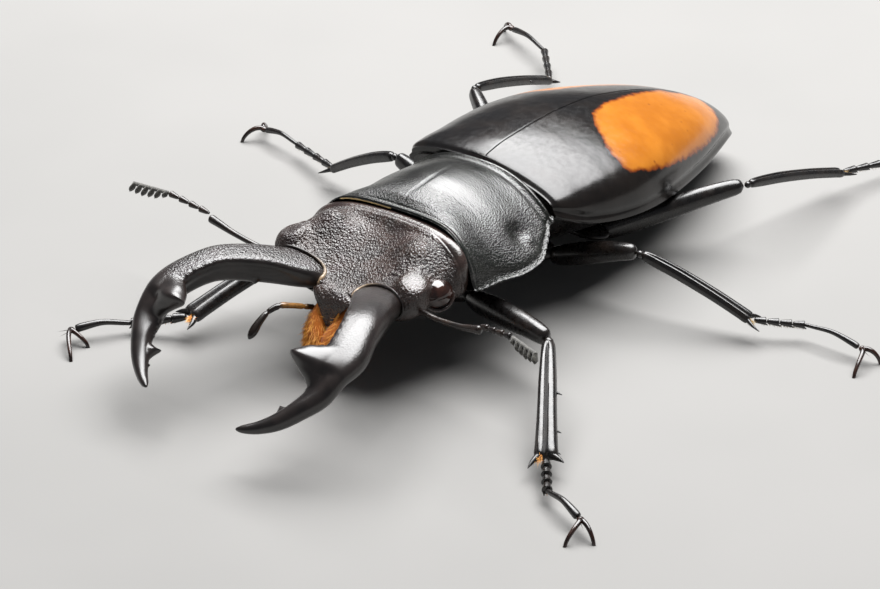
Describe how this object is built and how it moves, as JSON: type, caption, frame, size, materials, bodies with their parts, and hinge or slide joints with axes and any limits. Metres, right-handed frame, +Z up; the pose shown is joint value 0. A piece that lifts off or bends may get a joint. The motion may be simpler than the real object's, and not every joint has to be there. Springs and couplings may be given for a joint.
{
  "type": "stag beetle",
  "caption": "Male stag beetle as a still, life-size figure: long down-curved forked mandibles, glossy wing cases black in front and orange behind, standing on spread legs.",
  "frame": {"origin": "below the middle of the whole beetle's box, on the floor that the claws stand on", "axes": "+Z up; the head points to -Y and the tail to +Y; +X is the beetle's left; the box is longest along Y"},
  "size_m": [0.0758, 0.0888, 0.0149],
  "materials": {
    "head_shell": "wrinkled, grainy satin horn, black with a brown-purple tint",
    "pronotum_shell": "satin black horn, smooth on the disc and finely grainy at the sides",
    "wing_case": "smooth glossy horn, black in front and along the outer edge, orange behind",
    "body_shell": "smooth black horn",
    "mandible": "black horn, grainy above and towards the head, polished towards the tip",
    "mouth_brush": "dense orange bristles",
    "feeler": "smooth black-brown horn",
    "club": "dull black-brown horn with a very fine velvet",
    "eye": "polished dark brown",
    "leg": "smooth glossy black horn",
    "claw": "smooth dark red-brown horn"
  },
  "bodies": {
    "root": {"head": "head_shell", "clypeus": "head_shell", "mouth_brush": "mouth_brush", "mandible_left": "mandible", "eye_left": "eye", "palp_left": "feeler", "scape_left": "feeler", "funicle_left": "feeler", "club_left": "club", "mandible_right": "mandible", "eye_right": "eye", "palp_right": "feeler", "scape_right": "feeler", "funicle_right": "feeler", "club_right": "club", "pronotum": "pronotum_shell", "scutellum": "body_shell", "elytron_left": "wing_case", "elytron_right": "wing_case", "thorax": "body_shell", "abdomen": "body_shell", "coxa_front_left": "leg", "femur_front_left": "leg", "tibia_front_left": "leg", "tarsus_front_left": "leg", "claws_front_left": "claw", "coxa_front_right": "leg", "femur_front_right": "leg", "tibia_front_right": "leg", "tarsus_front_right": "leg", "claws_front_right": "claw", "coxa_mid_left": "leg", "femur_mid_left": "leg", "tibia_mid_left": "leg", "tarsus_mid_left": "leg", "claws_mid_left": "claw", "coxa_mid_right": "leg", "femur_mid_right": "leg", "tibia_mid_right": "leg", "tarsus_mid_right": "leg", "claws_mid_right": "claw", "coxa_hind_left": "leg", "femur_hind_left": "leg", "tibia_hind_left": "leg", "tarsus_hind_left": "leg", "claws_hind_left": "claw", "coxa_hind_right": "leg", "femur_hind_right": "leg", "tibia_hind_right": "leg", "tarsus_hind_right": "leg", "claws_hind_right": "claw"}
  },
  "joints": []
}
